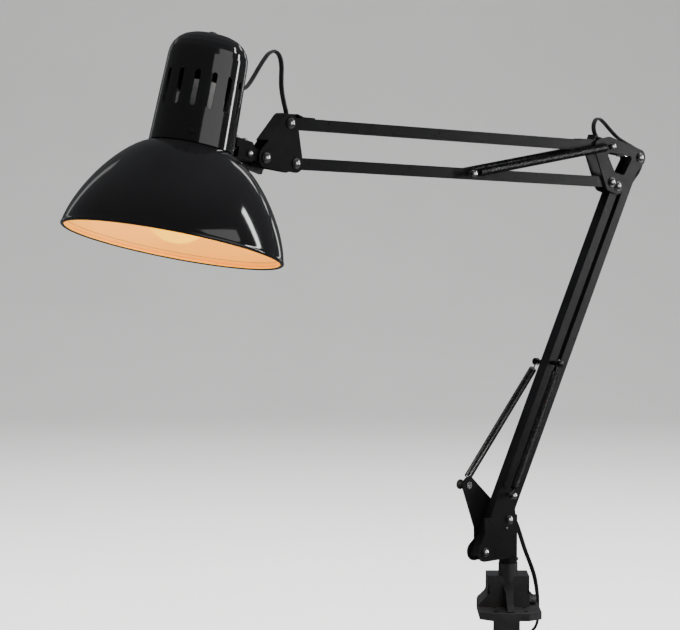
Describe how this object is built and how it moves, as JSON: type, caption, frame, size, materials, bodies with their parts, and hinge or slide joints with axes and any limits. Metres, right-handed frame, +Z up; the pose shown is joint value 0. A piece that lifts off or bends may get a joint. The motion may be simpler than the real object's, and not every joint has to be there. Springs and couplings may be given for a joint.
{
  "type": "architect desk lamp",
  "caption": "Clamp-on desk lamp with two spring-balanced parallelogram arms of square tube, a tilting dome shade with a slotted cap, and its cord.",
  "frame": {"origin": "underside of the clamp's foot, on the axis of the arm's post", "axes": "+Z up along the post, +Y towards the clamp's spine, away from the table's edge, +X to the right seen from the front"},
  "size_m": [0.525, 0.5036, 0.6891],
  "materials": {
    "cast_black": "satin black enamel on a zinc casting",
    "black_paint": "semi-gloss black powder coat on folded sheet and square tube",
    "gloss_enamel": "high-gloss black stove enamel outside, cream enamel inside the dome",
    "plated_steel": "bright nickel plating",
    "black_zinc": "blackened zinc plate",
    "spring_wire": "blackened spring steel wire",
    "porcelain": "white lamp holder",
    "bulb_glass": "frosted glass, lit warm",
    "bulb_cap": "screw cap",
    "black_plastic": "fine-textured black plastic",
    "cord_sheath": "smooth black flexible sheath on flat twin cord",
    "tie": "plastic-covered wire tie"
  },
  "bodies": {
    "clamp": {"clamp_frame": "cast_black", "cord_tail": "cord_sheath", "cord_coil": "cord_sheath", "cord_lead": "cord_sheath", "cord_tie": "tie", "plug_body": "black_plastic", "plug_pins": "plated_steel"},
    "clamp_pad": {"clamp_pad": "black_plastic"},
    "clamp_screw": {"clamp_screw": "plated_steel"},
    "clamp_handle": {"clamp_handle": "plated_steel"},
    "lock_screw": {"lock_screw": "plated_steel"},
    "base": {"base_post": "black_paint", "base_plate_near": "black_paint", "base_plate_far": "black_paint", "base_bolts": "plated_steel", "base_washers": "plated_steel", "base_spring_pins": "plated_steel", "hub_screw": "plated_steel"},
    "lower_right": {"lower_bar_right": "black_paint"},
    "lower_left": {"lower_bar_left": "black_paint", "lower_spring_pin": "plated_steel", "lower_spring_hooks": "spring_wire"},
    "near_spring": {"lower_spring_near": "spring_wire"},
    "near_spring_tip": {"lower_tip_near": "spring_wire"},
    "far_spring": {"lower_spring_far": "spring_wire"},
    "far_spring_tip": {"lower_tip_far": "spring_wire"},
    "elbow": {"elbow_plate_near": "black_paint", "elbow_plate_far": "black_paint", "elbow_bolts": "plated_steel", "elbow_washers": "plated_steel", "elbow_spacer": "plated_steel", "cord_elbow_upper": "cord_sheath", "cord_elbow_lower": "cord_sheath"},
    "upper_top": {"upper_bar_top": "black_paint", "cord_guards": "black_paint"},
    "upper_bottom": {"upper_bar_bottom": "black_paint", "upper_spring_pin": "plated_steel", "upper_spring_hooks": "spring_wire"},
    "upper_springs": {"upper_spring_near": "spring_wire", "upper_spring_far": "spring_wire"},
    "upper_spring_tips": {"upper_tips": "spring_wire"},
    "head": {"head_bracket": "black_paint", "head_bolts": "plated_steel", "head_washers": "plated_steel", "cord_head_bracket": "cord_sheath"},
    "wing_nut": {"tilt_wing_nut": "black_zinc"},
    "knuckle": {"knuckle_block": "black_paint", "knuckle_screws": "plated_steel"},
    "shade": {"shade_dome": "gloss_enamel", "shade_cap": "gloss_enamel", "cap_screws": "plated_steel", "shade_stud": "plated_steel", "holder_plate": "plated_steel", "lamp_holder": "porcelain", "bulb_glass": "bulb_glass", "bulb_base": "bulb_cap", "switch_body": "black_plastic", "cord_bush": "cord_sheath", "cord_head_shade": "cord_sheath"},
    "switch": {"switch_button": "black_plastic"}
  },
  "joints": [
    {"name": "pad_travel", "type": "slide", "parent": "clamp", "child": "clamp_pad", "axis": [0, 0, 1], "range_m": [-0.0075, 0.04]},
    {"name": "screw_turn", "type": "hinge", "parent": "clamp_pad", "child": "clamp_screw", "pos_m": [0, -0.027, -0.05], "axis": [0, 0, 1], "range_deg": [-2174, 11549]},
    {"name": "handle_slide", "type": "slide", "parent": "clamp_screw", "child": "clamp_handle", "axis": [1, 0, 0], "range_m": [-0.021, 0.021]},
    {"name": "lock_screw_turn", "type": "hinge", "parent": "clamp", "child": "lock_screw", "pos_m": [0.02, 0, 0.0116], "axis": [1, 0, 0], "range_deg": [-180, 180]},
    {"name": "base_swivel", "type": "hinge", "parent": "clamp", "child": "base", "pos_m": [0, 0, 0.03], "axis": [0, 0, 1], "range_deg": [-90, 90], "deforming": ["cord_tail"]},
    {"name": "lower_arm_lift", "type": "hinge", "parent": "base", "child": "lower_right", "pos_m": [-0.00471, -0.00447, 0.0875], "axis": [-0.6884, 0.7254, 0], "range_deg": [-45, 6], "deforming": ["cord_tail", "cord_elbow_lower", "lower_spring_near", "lower_tip_near", "lower_spring_far", "lower_tip_far", "lower_spring_hooks"]},
    {"name": "lower_left_turn", "type": "hinge", "parent": "base", "child": "lower_left", "pos_m": [-0.02829, -0.02685, 0.0605], "axis": [-0.6884, 0.7254, 0], "range_deg": [-45, 6]},
    {"name": "near_spring_turn", "type": "hinge", "parent": "base", "child": "near_spring", "pos_m": [0.00226, -0.01647, 0.111], "axis": [-0.6884, 0.7254, 0], "range_deg": [-60.75, 8.1]},
    {"name": "near_spring_stretch", "type": "slide", "parent": "near_spring", "child": "near_spring_tip", "axis": [0.3431, 0.3256, 0.8811], "range_m": [-0.00274, 0.02044]},
    {"name": "far_spring_turn", "type": "hinge", "parent": "base", "child": "far_spring", "pos_m": [-0.04317, -0.02235, 0.122], "axis": [-0.6884, 0.7254, 0], "range_deg": [-62.55, 8.34]},
    {"name": "far_spring_stretch", "type": "slide", "parent": "far_spring", "child": "far_spring_tip", "axis": [0.4951, 0.4698, 0.7309], "range_m": [-0.01926, 0.00259]},
    {"name": "elbow_level", "type": "hinge", "parent": "lower_right", "child": "elbow", "pos_m": [0.12878, 0.1222, 0.42225], "axis": [-0.6884, 0.7254, 0], "range_deg": [-6, 45]},
    {"name": "upper_arm_lift", "type": "hinge", "parent": "elbow", "child": "upper_top", "pos_m": [0.09432, 0.08951, 0.43305], "axis": [-0.6884, 0.7254, 0], "range_deg": [-30, 30], "deforming": ["cord_elbow_upper", "upper_spring_near", "upper_spring_far", "upper_tips", "upper_spring_hooks"]},
    {"name": "upper_bottom_turn", "type": "hinge", "parent": "elbow", "child": "upper_bottom", "pos_m": [0.09867, 0.09364, 0.39905], "axis": [-0.6884, 0.7254, 0], "range_deg": [-30, 30]},
    {"name": "upper_spring_turn", "type": "hinge", "parent": "elbow", "child": "upper_springs", "pos_m": [0.09432, 0.08951, 0.43305], "axis": [-0.6884, 0.7254, 0], "range_deg": [-30.3, 30.3]},
    {"name": "upper_spring_stretch", "type": "slide", "parent": "upper_springs", "child": "upper_spring_tips", "axis": [-0.7196, -0.6829, -0.1259], "range_m": [-0.0173, 0.0173]},
    {"name": "head_level", "type": "hinge", "parent": "upper_top", "child": "head", "pos_m": [-0.20345, -0.19307, 0.45313], "axis": [-0.6884, 0.7254, 0], "range_deg": [-30, 30], "deforming": ["cord_head_bracket"]},
    {"name": "wing_nut_turn", "type": "hinge", "parent": "head", "child": "wing_nut", "pos_m": [-0.22376, -0.21234, 0.42413], "axis": [-0.6884, 0.7254, 0], "range_deg": [-180, 180]},
    {"name": "head_tilt", "type": "hinge", "parent": "head", "child": "knuckle", "pos_m": [-0.22376, -0.21234, 0.42413], "axis": [-0.6884, 0.7254, 0], "range_deg": [-60, 45], "deforming": ["cord_head_bracket"]},
    {"name": "head_turn", "type": "hinge", "parent": "knuckle", "child": "shade", "pos_m": [-0.23781, -0.22567, 0.42913], "axis": [0.7023, 0.6664, -0.2504], "range_deg": [-45, 45], "deforming": ["cord_head_shade"]},
    {"name": "switch_press", "type": "slide", "parent": "shade", "child": "switch", "axis": [-0.1816, -0.1723, -0.9681], "range_m": [0, 0.002], "stiffness_N_per_m": 300, "springref_m": -0.003}
  ],
  "couplings": [
    {"joint": "screw_turn", "follows": "pad_travel", "rad_per_m": 5026.5},
    {"joint": "lower_left_turn", "follows": "lower_arm_lift", "ratio": 1},
    {"joint": "near_spring_turn", "follows": "lower_arm_lift", "ratio": 1.35},
    {"joint": "near_spring_stretch", "follows": "lower_arm_lift", "m_per_rad": -0.026},
    {"joint": "far_spring_turn", "follows": "lower_arm_lift", "ratio": 1.39},
    {"joint": "far_spring_stretch", "follows": "lower_arm_lift", "m_per_rad": 0.0245},
    {"joint": "elbow_level", "follows": "lower_arm_lift", "ratio": -1},
    {"joint": "upper_bottom_turn", "follows": "upper_arm_lift", "ratio": 1},
    {"joint": "upper_spring_turn", "follows": "upper_arm_lift", "ratio": 1.01},
    {"joint": "upper_spring_stretch", "follows": "upper_arm_lift", "m_per_rad": -0.033},
    {"joint": "head_level", "follows": "upper_arm_lift", "ratio": -1}
  ]
}
